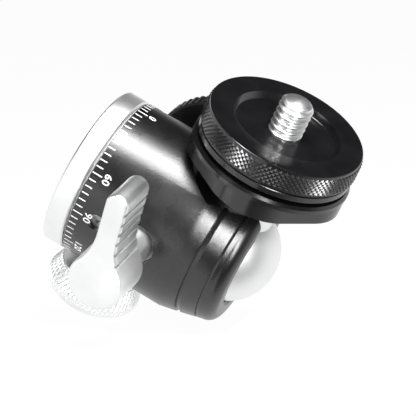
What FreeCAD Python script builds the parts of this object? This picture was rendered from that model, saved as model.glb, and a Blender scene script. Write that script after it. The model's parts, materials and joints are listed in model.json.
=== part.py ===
"""Small tripod ball head with a lock lever, a drag knob and a panning lock knob.

Frame, in millimetres: the origin is the centre of the face that sits on the tripod and +Z
runs up the head's axis. The lever is on +X, the drag knob on -X and the panning knob on +Y.
The stem lies in the drop notch, so the camera disc faces -Y.
"""
import FreeCAD, Part
import math
import os
import re

import Sketcher

Vector = FreeCAD.Vector
Rotation = FreeCAD.Rotation

UP = Vector(0, 0, 1)
LEVER_SIDE = Vector(1, 0, 0)
DRAG_SIDE = Vector(-1, 0, 0)
PAN_SIDE = Vector(0, 1, 0)
CAMERA_SIDE = Vector(0, -1, 0)

# Every driving dimension: its name, its size and what it is.
SIZES = [
    ("running_gap", 0.05, "radial clearance of a turning or sliding fit"),
    ("press_gap", 0.02, "clearance left round a pressed or screwed piece"),
    ("seat_gap", 0.08, "clearance between two faces that slide on each other"),
    ("free_gap", 0.3, "clearance between moving pieces that never touch"),
    ("base_radius", 15.5, "outer radius of the base ring and of the head body"),
    ("base_height", 4.1, "height of the base ring"),
    ("base_bevel", 0.35, "bevel on the edges of the base ring"),
    ("washer_thick", 0.25, "thickness of the panning washer"),
    ("washer_inner", 10.6, "inner radius of the panning washer"),
    ("washer_outer", 14.6, "outer radius of the panning washer"),
    ("spigot_radius", 6.5, "radius of the spigot that the head turns on"),
    ("spigot_top", 12.6, "height of the top of the spigot"),
    ("brake_groove", 0.8, "depth of the vee groove for the panning brake"),
    ("bush_radius", 4.76, "radius of the large tripod thread, three eighths of an inch"),
    ("tripod_radius", 3.175, "radius of the quarter inch tripod thread"),
    ("bush_length", 8.0, "depth of the tripod thread"),
    ("bush_inset", 0.3, "how far the bush sits inside the base face"),
    ("slot_width", 1.2, "width of the screwdriver slot in the bush"),
    ("slot_depth", 1.0, "depth of the screwdriver slot in the bush"),
    ("small_screw", 1.45, "radius of the small screws"),
    ("small_head", 2.8, "head radius of the small screws"),
    ("head_sink", 0.95, "height of a countersunk screw head"),
    ("socket_radius", 0.9, "radius of the socket in a small screw"),
    ("socket_depth", 0.8, "depth of the socket in a small screw"),
    ("screw_reach", 4.0, "length of a small screw below its head"),
    ("keeper_radius", 8.4, "radius of the washer that keeps the head on the spigot"),
    ("keeper_thick", 1.0, "thickness of that washer"),
    ("head_bevel", 0.2, "bevel at the lower edge of the head body"),
    ("head_bore", 10.2, "radius of the bore in the head body"),
    ("barrel_start", 24.9, "height where the head body starts to narrow"),
    ("barrel_middle_radius", 14.65, "outer radius half way up the narrowing"),
    ("barrel_middle", 28.8, "height half way up the narrowing"),
    ("barrel_end_radius", 13.55, "outer radius where the crown starts"),
    ("barrel_end", 33.1, "height where the crown starts"),
    ("crown_middle_radius", 13.0, "outer radius half way round the crown"),
    ("crown_middle", 34.5, "height half way round the crown"),
    ("rim_radius", 11.8, "outer radius of the flat rim round the ball"),
    ("rim_height", 35.3, "height of the rim round the ball"),
    ("rim_inner", 9.5, "inner radius of the flat rim"),
    ("lip_bevel", 1.0, "size of the bevel inside the rim"),
    ("wide_groove_height", 28.56, "height of the wide decorative groove"),
    ("wide_groove_width", 1.0, "width of the wide decorative groove"),
    ("wide_groove_floor", 14.3, "radius at the floor of the wide groove"),
    ("fine_groove_height", 32.1, "height of the fine decorative groove"),
    ("fine_groove_width", 0.5, "width of the fine decorative groove"),
    ("fine_groove_floor", 13.55, "radius at the floor of the fine groove"),
    ("ball_radius", 9.66, "radius of the ball"),
    ("ball_height", 30.58, "height of the centre of the ball"),
    ("seat_ring_bottom", 30.8, "height of the bottom of the upper ball seat"),
    ("seat_ring_top", 33.3, "height of the top of the upper ball seat"),
    ("seat_ring_radius", 10.4, "outer radius of the upper ball seat"),
    ("neck_radius", 5.2, "radius of the stem"),
    ("notch_gap", 0.4, "clearance of the stem in the drop notch"),
    ("notch_flat", 12.0, "distance from the axis to the flat round the notch"),
    ("notch_inner", 11.2, "radius of the flat round the notch"),
    ("notch_outer", 13.0, "radius of the notch flare at the outside of the body"),
    ("plug_radius", 10.15, "outer radius of the bearing plug"),
    ("plug_bore", 7.3, "bore radius of the bearing plug"),
    ("plug_bottom", 4.5, "height of the bottom of the bearing plug"),
    ("plug_top", 12.45, "height of the top of the bearing plug"),
    ("grub_height", 9.3, "height of the grub screws that hold the plug"),
    ("grub_radius", 1.5, "radius of the grub screws"),
    ("grub_tip", 9.7, "distance from the axis to the tips of the grub screws"),
    ("grub_length", 4.6, "length of the grub screws"),
    ("clamp_height", 17.3, "height of the lever and drag knob axis"),
    ("shaft_radius", 2.2, "radius of the clamp shafts inside the body"),
    ("journal_radius", 2.5, "radius of the clamp shafts in the outer wall"),
    ("shoulder_radius", 3.4, "radius of the clamp shafts outside the wall"),
    ("recess_radius", 3.95, "radius of the recess round each clamp shaft"),
    ("recess_floor", 13.4, "distance from the axis to the floor of the recess"),
    ("journal_start", 11.5, "distance from the axis to the step in the shaft bore"),
    ("shaft_washer", 0.3, "thickness of the washers in the recesses"),
    ("clip_start", 9.3, "distance from the axis to the shaft clips"),
    ("clip_thick", 0.5, "thickness of the shaft clips"),
    ("clip_depth", 0.3, "depth of the clip grooves"),
    ("cam_offset", 0.25, "how far the cams are off the shaft centre"),
    ("cam_radius", 2.2, "radius of the cams"),
    ("lever_cam_half", 3.5, "half length of the lever's cam"),
    ("drag_cam_start", 6.2, "distance from the axis to the inner end of the drag cam"),
    ("drag_cam_end", 9.1, "distance from the axis to the outer end of the drag cam"),
    ("pivot_radius", 1.0, "radius of the pivot that joins the two shafts"),
    ("pivot_end", 3.4, "distance from the axis to the end of the pivot"),
    ("shaft_split", 5.6, "distance from the axis to the end of the lever shaft"),
    ("plate_gap", 0.1, "gap between the cams and the thrust plate"),
    ("thrust_thick", 0.8, "thickness of the thrust plate"),
    ("thrust_hole", 3.0, "radius of the hole in the thrust plate"),
    ("spring_thick", 0.5, "thickness of the preload spring"),
    ("spring_inner", 5.6, "inner radius of the preload spring"),
    ("spring_outer", 9.5, "outer radius of the preload spring"),
    ("cup_radius", 10.1, "outer radius of the lower ball cup"),
    ("cup_bore", 5.0, "radius of the hole in the lower ball cup"),
    ("lever_inner", 22.3, "distance from the axis to the inner face of the lever"),
    ("lever_thick", 9.7, "thickness of the lever along its axis"),
    ("lever_hub", 5.2, "radius of the hub end of the lever"),
    ("lever_reach", 16.1, "distance from the lever's axis to its tip centre"),
    ("lever_waist", 9.3, "distance from the lever's axis to where the arm becomes narrow"),
    ("lever_tip", 2.1, "radius of the tip of the lever and half the width of its arm"),
    ("lever_droop", 7.0, "angle of the lever below level, in degrees"),
    ("lever_edge", 0.7, "rounding of the edges of the lever"),
    ("lever_bore_depth", 6.6, "depth of the shaft bore in the lever"),
    ("grip_step", 2.0, "spacing of the grip grooves on the lever"),
    ("grip_start", 5.0, "distance from the lever's axis to the first grip groove"),
    ("grip_count", 6, "number of grip grooves"),
    ("grip_radius", 0.42, "radius of the grip grooves"),
    ("drag_inner", 21.5, "distance from the axis to the inner face of the drag knob"),
    ("drag_thick", 5.5, "thickness of the drag knob"),
    ("drag_radius", 13.2, "radius of the drag knob"),
    ("drag_bevel", 1.5, "bevel on the outer edge of the drag knob"),
    ("drag_edge", 0.4, "bevel on the inner edge of the drag knob"),
    ("drag_flutes", 60, "number of grip flutes round the drag knob"),
    ("drag_flute_depth", 0.3, "depth of the grip flutes"),
    ("drag_flute_radius", 0.5, "radius of the grip flutes"),
    ("drag_dish", 4.6, "radius of the dished middle of the drag knob"),
    ("dish_depth", 1.6, "depth of the dished middle of the drag knob"),
    ("pan_height", 10.2, "height of the panning knob axis"),
    ("pan_inner", 18.0, "distance from the axis to the inner face of the panning knob"),
    ("pan_thick", 6.6, "thickness of the panning knob"),
    ("pan_face_radius", 7.4, "radius of the inner face of the panning knob"),
    ("pan_radius", 8.9, "largest radius of the panning knob"),
    ("pan_flare", 3.4, "distance from the inner face to the widest part"),
    ("pan_band", 1.0, "width of the widest band"),
    ("pan_end_radius", 6.4, "radius where the domed end of the panning knob flattens"),
    ("pan_dome_radius", 8.1, "radius half way round the dome"),
    ("pan_dome", 5.9, "distance from the inner face to half way round the dome"),
    ("pan_screw", 2.5, "radius of the panning lock screw"),
    ("pan_screw_tip", 8.3, "distance from the axis to the tip of the lock screw"),
    ("pan_stub", 2.0, "radius of the end of the lock screw inside the knob"),
    ("pan_stub_length", 5.0, "length of that end"),
    ("shoe_radius", 2.3, "radius of the brake shoe"),
    ("shoe_end", 7.9, "distance from the axis to the outer end of the brake shoe"),
    ("plate_start", 17.0, "distance from the ball centre to the lower plate"),
    ("plate_radius", 15.1, "radius of the lower plate"),
    ("plate_thick", 4.7, "thickness of the lower plate"),
    ("plate_rim", 1.3, "thickness of the round rim of the lower plate"),
    ("plate_bevel", 0.5, "bevel on the upper edge of the lower plate"),
    ("plate_flat", 13.4, "distance from the stem axis to each flat of the plate"),
    ("plate_corner", 9.6, "radius of the corners between the flats"),
    ("plate_turn", 52.0, "angle of the flats about the stem, in degrees"),
    ("plate_spigot", 4.0, "radius of the stem's end inside the plate"),
    ("plate_web", 2.4, "thickness of the plate under the stud's flange"),
    ("stud_flange", 5.8, "radius of the stud's flange"),
    ("flange_thick", 1.5, "thickness of the stud's flange"),
    ("stud_root", 2.95, "radius of the stud's end inside the stem"),
    ("stud_start", 11.2, "distance from the ball centre to the stud's inner end"),
    ("stud_radius", 3.175, "radius of the quarter inch camera thread"),
    ("stud_top", 33.7, "distance from the ball centre to the stud's top"),
    ("stud_bevel", 0.6, "bevel at the top of the stud"),
    ("relief_width", 0.5, "width of the thread relief at the floor of the disc's recess"),
    ("relief_depth", 0.5, "depth of the thread relief"),
    ("friction_radius", 12.2, "radius of the washer under the camera disc"),
    ("friction_thick", 0.7, "thickness of the washer under the camera disc"),
    ("disc_start", 22.5, "distance from the ball centre to the camera disc"),
    ("disc_top", 28.44, "distance from the ball centre to the camera face"),
    ("disc_radius", 15.0, "radius of the camera disc over its knurl"),
    ("disc_lip", 14.6, "radius of the smooth lip under the knurl"),
    ("knurl_start", 23.97, "distance from the ball centre to the knurl"),
    ("knurl_groove", 0.25, "width and depth of the groove under the knurl"),
    ("disc_bevel", 0.45, "bevel on the upper edge of the camera disc"),
    ("disc_recess", 9.9, "radius of the recess in the camera face"),
    ("recess_slope", 0.7, "width of the sloping wall of that recess"),
    ("recess_depth", 1.2, "depth of that recess"),
]

NAMES = re.compile(r"\b(" + "|".join(name for name, size, note in SIZES) + r")\b")

doc = FreeCAD.newDocument("ball_head")
sheet = doc.addObject("Spreadsheet::Sheet", "dims")
SCRATCH_CELL = "E1"
subparts = []


def fill_sheet():
    """Write every driving dimension into the sheet and name its cell."""
    for row, (name, size, note) in enumerate(SIZES, start=1):
        sheet.set("A%d" % row, note)
        sheet.set("B%d" % row, str(size))
        sheet.setAlias("B%d" % row, name)
    doc.recompute()


def number(formula):
    """The value of a formula of named dimensions."""
    sheet.set(SCRATCH_CELL, "=" + str(formula))
    sheet.recompute()
    return float(sheet.get(SCRATCH_CELL))


def bind(thing, prop, formula):
    """Tie a property to a formula of named dimensions."""
    thing.setExpression(prop, NAMES.sub(r"dims.\1", str(formula)))


def bind_place(thing, place):
    """Tie the position of an object to three formulas."""
    for axis, formula in zip("xyz", place):
        bind(thing, "Placement.Base." + axis, formula)


def finish(thing, node, place=("0", "0", "0"), turn=None):
    """Name a finished sub-part and put it where it belongs."""
    thing.Label = node
    thing.Placement = FreeCAD.Placement(Vector(0, 0, 0), turn or Rotation())
    bind_place(thing, place)
    subparts.append(thing)


def outward(side):
    """The turn that takes local +Z to a side of the head, with local Y kept level or upright."""
    if side == CAMERA_SIDE:
        return Rotation(Vector(1, 0, 0), 90)
    return Rotation(UP.cross(side), UP, side, "ZYX")


def plane_of(body, role):
    """One of a body's own origin planes."""
    return next(item for item in body.Origin.OriginFeatures if item.Role == role)


def tie_point(sketch, piece, end, spot):
    """Fix one point of a sketch at two formulas, measured from the sketch's origin."""
    for kind, formula in zip(("DistanceX", "DistanceY"), spot):
        index = sketch.addConstraint(Sketcher.Constraint(kind, -1, 1, piece, end, number(formula)))
        bind(sketch, "Constraints[%d]" % index, formula)


def sketch_outline(body, name, role, corners):
    """A closed outline. A corner is two formulas; a third entry marks a point that an arc goes through."""
    sketch = body.newObject("Sketcher::SketchObject", name)
    sketch.AttachmentSupport = [(plane_of(body, role), "")]
    sketch.MapMode = "FlatFace"
    spots = [Vector(number(corner[0]), number(corner[1]), 0) for corner in corners]
    ends = [index for index, corner in enumerate(corners) if len(corner) == 2]
    for here, after in zip(ends, ends[1:] + [ends[0] + len(corners)]):
        add_edge(sketch, corners, spots, here, after)
    return sketch


def add_edge(sketch, corners, spots, here, after):
    """One straight or curved edge of an outline, tied at both of its ends."""
    start, stop = spots[here], spots[after % len(spots)]
    if after - here == 1:
        piece = sketch.addGeometry(Part.LineSegment(start, stop), False)
        tie_point(sketch, piece, 1, corners[here])
        tie_point(sketch, piece, 2, corners[after % len(corners)])
        return
    middle = spots[here + 1]
    piece = sketch.addGeometry(Part.Arc(start, middle, stop), False)
    first = 1 if sketch.getPoint(piece, 1).distanceToPoint(start) < 1e-4 else 2
    tie_point(sketch, piece, first, corners[here])
    tie_point(sketch, piece, 3 - first, corners[after % len(corners)])
    dot = sketch.addGeometry(Part.Point(middle), True)
    tie_point(sketch, dot, 1, corners[here + 1][:2])
    sketch.addConstraint(Sketcher.Constraint("PointOnObject", dot, 1, piece))


def turned(name, corners):
    """A turned piece: an outline of radius and height revolved about the local Z axis."""
    body = doc.addObject("PartDesign::Body", name + "_turned")
    sketch = sketch_outline(body, name + "_outline", "XZ_Plane", corners)
    solid = body.newObject("PartDesign::Revolution", name + "_revolved")
    solid.Profile = sketch
    solid.ReferenceAxis = (sketch, ["V_Axis"])
    solid.Angle = 360
    sketch.Visibility = False
    doc.recompute()
    return body


def ring(inner, outer, bottom, top):
    """The outline of a plain ring or disc."""
    return [(inner, bottom), (outer, bottom), (outer, top), (inner, top)]


def rod(name, radius, length, place=("0", "0", "0"), side=UP):
    """A plain cylinder that starts at a place and runs towards a side."""
    piece = doc.addObject("Part::Cylinder", name)
    bind(piece, "Radius", radius)
    bind(piece, "Height", length)
    piece.Placement = FreeCAD.Placement(Vector(0, 0, 0), Rotation(UP, side))
    bind_place(piece, place)
    return piece


def block(name, sizes, place, turn=None):
    """A plain box from a corner."""
    piece = doc.addObject("Part::Box", name)
    for prop, formula in zip(("Length", "Width", "Height"), sizes):
        bind(piece, prop, formula)
    piece.Placement = FreeCAD.Placement(Vector(0, 0, 0), turn or Rotation())
    bind_place(piece, place)
    return piece


def ball_shape(name, radius, place=("0", "0", "0")):
    """A sphere."""
    piece = doc.addObject("Part::Sphere", name)
    bind(piece, "Radius", radius)
    bind_place(piece, place)
    return piece


def joined(name, pieces):
    """Several tools as one."""
    union = doc.addObject("Part::MultiFuse", name)
    union.Shapes = pieces
    return union


def cut(name, base, tools):
    """A piece with tools taken away."""
    result = doc.addObject("Part::Cut", name)
    result.Base = base
    result.Tool = tools[0] if len(tools) == 1 else joined(name + "_tools", tools)
    doc.recompute()
    return result


def fused(name, pieces):
    """One solid made of several."""
    result = joined(name, pieces)
    result.Refine = True
    doc.recompute()
    return result


def small_screw(name, reach):
    """A countersunk screw with a plain socket, its head's top face at local height 0."""
    return turned(name, [
        ("0", "-(" + reach + ")"), ("small_screw", "-(" + reach + ")"),
        ("small_screw", "-head_sink"), ("small_head", "0"),
        ("socket_radius", "0"), ("socket_radius", "-socket_depth"), ("0", "-socket_depth"),
    ])


def fluted(name, base, count, depth, flute_radius, rim, start, length):
    """Grip flutes cut along the rim of a knob, spaced evenly round its axis."""
    flutes = []
    centre = "(%s + %s - %s)" % (rim, flute_radius, depth)
    for index in range(int(round(number(count)))):
        angle = "%d * 360 / %s" % (index, count)
        place = (centre + " * cos(" + angle + ")", centre + " * sin(" + angle + ")", start)
        flutes.append(rod("%s_flute_%d" % (name, index), flute_radius, length, place))
    result = doc.addObject("Part::Cut", name + "_fluted")
    result.Base = base
    bundle = doc.addObject("Part::Compound", name + "_flutes")
    bundle.Links = flutes
    result.Tool = bundle
    doc.recompute()
    return result


def make_base():
    """The base ring with its spigot, the tripod bush and what keeps the head on."""
    body = turned("pan_base", [
        ("bush_radius", "0"), ("base_radius - base_bevel", "0"), ("base_radius", "base_bevel"),
        ("base_radius", "base_height - base_bevel"), ("base_radius - base_bevel", "base_height"),
        ("spigot_radius", "base_height"), ("spigot_radius", "pan_height - brake_groove"),
        ("spigot_radius - brake_groove", "pan_height"), ("spigot_radius", "pan_height + brake_groove"),
        ("spigot_radius", "spigot_top"), ("small_screw + running_gap", "spigot_top"),
        ("small_screw + running_gap", "bush_length + running_gap"),
        ("bush_radius", "bush_length + running_gap"),
    ])
    finish(body, "pan_base")

    bush = turned("thread_bush", ring("tripod_radius", "bush_radius - press_gap", "bush_inset", "bush_length"))
    slot = block("bush_slot", ("4 * bush_radius", "slot_width", "bush_inset + slot_depth"),
                 ("-2 * bush_radius", "-slot_width / 2", "0"))
    finish(cut("thread_bush_slotted", bush, [slot]), "thread_bush")

    washer = ring("washer_inner", "washer_outer", "base_height", "base_height + washer_thick")
    finish(turned("pan_washer", washer), "pan_washer")

    keeper = turned("keeper_washer", [
        ("small_screw + seat_gap", "spigot_top"), ("keeper_radius", "spigot_top"),
        ("keeper_radius", "spigot_top + keeper_thick"),
        ("small_head + seat_gap", "spigot_top + keeper_thick"),
        ("small_screw + seat_gap", "spigot_top + keeper_thick - head_sink"),
    ])
    finish(keeper, "keeper_washer")
    finish(small_screw("keeper_screw", "screw_reach + keeper_thick"), "keeper_screw",
           ("0", "0", "spigot_top + keeper_thick"))


def head_outline():
    """The outline of the head body: plain bore, cylinder, convex barrel and rounded crown."""
    return [
        ("head_bore", "head_bottom"), ("base_radius - head_bevel", "head_bottom"),
        ("base_radius", "head_bottom + head_bevel"), ("base_radius", "barrel_start"),
        ("barrel_middle_radius", "barrel_middle", "through"),
        ("barrel_end_radius", "barrel_end"),
        ("crown_middle_radius", "crown_middle", "through"),
        ("rim_radius", "rim_height"), ("rim_inner", "rim_height"),
        ("rim_inner - lip_bevel", "rim_height - lip_bevel"),
        ("rim_inner - lip_bevel", "seat_ring_top + seat_gap"),
        ("seat_ring_radius + press_gap", "seat_ring_top + seat_gap"),
        ("seat_ring_radius + press_gap", "seat_ring_bottom - seat_gap"),
        ("head_bore", "seat_ring_bottom - seat_gap"),
    ]


def groove(name, height, width, floor):
    """A ring tool that cuts a groove into the outside of the head body."""
    low = height + " - " + width + " / 2"
    high = height + " + " + width + " / 2"
    return turned(name, ring(floor, "base_radius + 1", low, high))


def shaft_bores(name, side, sign):
    """The stepped bore and the recess for one clamp shaft."""
    at = lambda distance: (sign + "(" + distance + ")", "0", "clamp_height")
    return [
        rod(name + "_bore", "shaft_radius + running_gap", "journal_start", at("head_bore / 2"), side),
        rod(name + "_journal", "journal_radius + running_gap", "base_radius", at("journal_start"), side),
        rod(name + "_recess", "recess_radius", "base_radius", at("recess_floor"), side),
    ]


def grub_holes(name, start, length):
    """Three holes for the grub screws, evenly round the body and one of them below the lever."""
    holes = []
    for index in range(3):
        side = Vector(math.cos(math.radians(120 * index)), math.sin(math.radians(120 * index)), 0)
        place = ("%s * cos(%d)" % (start, 120 * index), "%s * sin(%d)" % (start, 120 * index), "grub_height")
        holes.append(rod("%s_%d" % (name, index), "grub_radius + running_gap", length, place, side))
    return holes


def stem_slot(name):
    """The open slot that the stem drops into: a round floor with a straight-sided way up."""
    width = "(neck_radius + notch_gap)"
    return [
        rod(name + "_floor", width, "2 * base_radius", ("0", "0", "ball_height"), CAMERA_SIDE),
        block(name + "_way", ("2 * " + width, "2 * base_radius", "base_radius"),
              ("-" + width, "-2 * base_radius", "ball_height")),
    ]


def notch_flat(name):
    """The flared flat that clears the lower plate round the notch."""
    flare = doc.addObject("Part::Cone", name)
    bind(flare, "Radius1", "notch_inner")
    bind(flare, "Radius2", "notch_outer")
    bind(flare, "Height", "base_radius - notch_flat")
    flare.Placement = FreeCAD.Placement(Vector(0, 0, 0), Rotation(UP, CAMERA_SIDE))
    bind_place(flare, ("0", "-notch_flat", "ball_height"))
    return flare


def make_head():
    """The head body with its bores, notch and grooves."""
    body = turned("head_body", head_outline())
    tools = [
        groove("wide_groove", "wide_groove_height", "wide_groove_width", "wide_groove_floor"),
        groove("fine_groove", "fine_groove_height", "fine_groove_width", "fine_groove_floor"),
        ball_shape("ball_room", "ball_radius + free_gap", ("0", "0", "ball_height")),
        rod("pan_screw_bore", "pan_screw + running_gap", "2 * base_radius",
            ("0", "head_bore / 2", "pan_height"), PAN_SIDE),
        notch_flat("notch_flare"),
    ]
    tools += shaft_bores("lever", LEVER_SIDE, "")
    tools += shaft_bores("drag", DRAG_SIDE, "-")
    tools += grub_holes("grub_hole", "head_bore / 2", "base_radius")
    tools += stem_slot("stem_slot")
    finish(cut("head_body_cut", body, tools), "head_body")


def make_head_insides():
    """What is fixed inside the head body."""
    plug = turned("bearing_plug", ring("plug_bore", "plug_radius", "plug_bottom", "plug_top"))
    holes = grub_holes("plug_hole", "grub_tip", "base_radius")
    holes.append(rod("plug_screw_hole", "pan_screw + running_gap", "base_radius",
                     ("0", "plug_bore / 2", "pan_height"), PAN_SIDE))
    finish(cut("bearing_plug_cut", plug, holes), "bearing_plug")

    sleeve = ring("spigot_radius + running_gap", "plug_bore - press_gap", "plug_bottom", "sleeve_top")
    finish(turned("pan_sleeve", sleeve), "pan_sleeve")

    screws = []
    for index in range(3):
        angle = 120 * index
        screw = turned("plug_screw_%d" % index, [
            ("0", "0"), ("grub_radius", "0"), ("grub_radius", "grub_length"),
            ("socket_radius", "grub_length"), ("socket_radius", "grub_length - socket_depth"),
            ("0", "grub_length - socket_depth"),
        ])
        side = Vector(math.cos(math.radians(angle)), math.sin(math.radians(angle)), 0)
        screw.Placement = FreeCAD.Placement(Vector(0, 0, 0), Rotation(UP, side))
        start = "(grub_tip + running_gap)"
        bind_place(screw, ("%s * cos(%d)" % (start, angle), "%s * sin(%d)" % (start, angle), "grub_height"))
        screws.append(screw)
    group = doc.addObject("Part::Compound", "plug_screw_group")
    group.Links = screws
    finish(group, "plug_screws")

    ring_body = turned("seat_ring", ring("cup_bore", "seat_ring_radius", "seat_ring_bottom", "seat_ring_top"))
    tools = [ball_shape("seat_ball", "ball_radius + running_gap", ("0", "0", "ball_height"))]
    tools += stem_slot("seat_slot")
    finish(cut("seat_ring_cut", ring_body, tools), "seat_ring")

    for name, side in (("lever_washer", LEVER_SIDE), ("drag_washer", DRAG_SIDE)):
        thin = ring("journal_radius + seat_gap", "recess_radius - seat_gap",
                    "recess_floor", "recess_floor + shaft_washer")
        finish(turned(name, thin), name, ("0", "0", "clamp_height"), outward(side))


def make_clamp():
    """The stack that the cams push up against the ball."""
    finish(turned("thrust_plate", ring("thrust_hole", "cup_radius", "stack_bottom", "stack_bottom + thrust_thick")),
           "thrust_plate")
    finish(turned("preload_spring", ring("spring_inner", "spring_outer", "stack_bottom + thrust_thick",
                                         "stack_bottom + thrust_thick + spring_thick")), "preload_spring")
    cup = turned("ball_cup", ring("cup_bore", "cup_radius", "stack_bottom + thrust_thick + spring_thick",
                                  "cup_top"))
    hollow = ball_shape("cup_hollow", "ball_radius + seat_gap", ("0", "0", "ball_height"))
    finish(cut("ball_cup_cut", cup, [hollow]), "ball_cup")


def shaft_clip(node, side):
    """A clip in the groove of one clamp shaft."""
    start = "clip_start + running_gap"
    thin = ring("shaft_radius - clip_depth + press_gap", "journal_radius", start,
                "clip_start + clip_thick")
    finish(turned(node, thin), node, ("0", "0", "clamp_height"), outward(side))


def shaft_outline(inner_end, outer_start, stub, outer_end):
    """The stepped outline of a clamp shaft from its inner end to the end inside its handle."""
    neck = "shaft_radius - clip_depth"
    return [
        ("0", inner_end), ("shaft_radius", inner_end), ("shaft_radius", "clip_start"),
        (neck, "clip_start"), (neck, "clip_start + clip_thick + running_gap"),
        ("shaft_radius", "clip_start + clip_thick + running_gap"),
        ("shaft_radius", "journal_start + running_gap"),
        ("journal_radius", "journal_start + running_gap"),
        ("journal_radius", "recess_floor + shaft_washer + running_gap"),
        ("shoulder_radius", "recess_floor + shaft_washer + running_gap"),
        ("shoulder_radius", outer_start), (stub, outer_start), (stub, outer_end), ("0", outer_end),
    ]


def make_lever():
    """The lock lever, its cam shaft and what holds them."""
    stub_end = "lever_inner + lever_bore_depth - running_gap"
    shaft = turned("lever_shaft", shaft_outline("lever_cam_half", "lever_inner", "journal_radius", stub_end))
    cam = rod("lever_cam", "cam_radius", "2 * lever_cam_half", ("0", "cam_offset", "-lever_cam_half"))
    tail = rod("lever_tail", "shaft_radius", "shaft_split - lever_cam_half", ("0", "0", "-shaft_split"))
    socket = rod("lever_socket", "pivot_radius + running_gap", "shaft_split - pivot_end + running_gap",
                 ("0", "0", "-shaft_split"))
    whole = cut("cam_shaft_cut", fused("cam_shaft_fused", [shaft, cam, tail]), [socket])
    finish(whole, "cam_shaft", ("0", "0", "clamp_height"), outward(LEVER_SIDE))
    shaft_clip("lever_clip", LEVER_SIDE)
    make_lever_arm()


ARM_BEND = "((lever_waist ^ 2 + lever_tip ^ 2 - lever_hub ^ 2) / (2 * (lever_hub - lever_tip)))"


def arm_height(along):
    """Half the height of the lever's arm between its hub and its waist, where it curves inwards."""
    return "lever_tip + %s - sqrt(%s ^ 2 - (lever_waist - %s) ^ 2)" % (ARM_BEND, ARM_BEND, along)


def lever_arm_body():
    """The teardrop of the lever, drawn along its length and padded along its axis."""
    body = doc.addObject("PartDesign::Body", "lever_arm")
    share = "(lever_hub / (lever_hub + %s))" % ARM_BEND
    root = ("lever_waist * " + share, "(lever_tip + %s) * %s" % (ARM_BEND, share))
    bend = ("(lever_waist + %s) / 2" % root[0], arm_height("(lever_waist + %s) / 2" % root[0]))
    below = lambda spot: (spot[0], "-(" + spot[1] + ")") + spot[2:]
    through = bend + ("through",)
    waist, shoulder = ("lever_waist", "lever_tip"), ("lever_reach", "lever_tip")
    sketch = sketch_outline(body, "lever_arm_outline", "XY_Plane", [
        root, ("-lever_hub", "0", "through"), below(root), below(through), below(waist),
        below(shoulder), ("lever_reach + lever_tip", "0", "through"), shoulder, waist, through,
    ])
    pad = body.newObject("PartDesign::Pad", "lever_arm_pad")
    pad.Profile = sketch
    bind(pad, "Length", "lever_thick")
    sketch.Visibility = False
    doc.recompute()
    rounding = body.newObject("PartDesign::Fillet", "lever_arm_rounding")
    rounding.Base = (pad, rim_edges(pad.Shape))
    bind(rounding, "Radius", "lever_edge")
    doc.recompute()
    return body


def rim_edges(shape):
    """The edges of both flat ends of a padded shape."""
    low, high = shape.BoundBox.ZMin, shape.BoundBox.ZMax
    names = []
    for index, edge in enumerate(shape.Edges, start=1):
        box = edge.BoundBox
        if box.ZLength < 1e-6 and min(abs(box.ZMin - low), abs(box.ZMax - high)) < 1e-6:
            names.append("Edge%d" % index)
    return names


def make_lever_arm():
    """The lever with its bore, its grip grooves and its grub screw."""
    arm = lever_arm_body()
    tools = [
        rod("lever_bore", "journal_radius + press_gap", "lever_bore_depth"),
        rod("lever_grub_hole", "grub_radius + running_gap", "2 * lever_hub",
            ("-journal_radius / 2", "0", "lever_bore_depth / 2"), Vector(-1, 0, 0)),
    ]
    for index in range(int(round(number("grip_count")))):
        along = "(grip_start + %d * grip_step)" % index
        height = arm_height(along) if number(along) < number("lever_waist") else "lever_tip"
        tools.append(rod("grip_groove_%d" % index, "grip_radius", "lever_thick + 2",
                         (along, "-(" + height + ")", "-1")))
    lever = cut("lever_cut", arm, tools)
    droop = Rotation(Vector(0, -1, 0), Vector(0, 0, -1), LEVER_SIDE, "ZXY")
    tilt = Rotation(LEVER_SIDE, number("lever_droop"))
    finish(lever, "lever", ("lever_inner", "0", "clamp_height"), tilt * droop)

    grub = turned("lever_grub", [
        ("0", "journal_radius + running_gap"), ("grub_radius", "journal_radius + running_gap"),
        ("grub_radius", "lever_hub - free_gap"), ("socket_radius", "lever_hub - free_gap"),
        ("socket_radius", "lever_hub - free_gap - socket_depth"),
        ("0", "lever_hub - free_gap - socket_depth"),
    ])
    away = tilt.multVec(Vector(0, 1, 0))
    finish(grub, "lever_grub_screw", ("lever_inner + lever_bore_depth / 2", "0", "clamp_height"),
           Rotation(UP, away))


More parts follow.
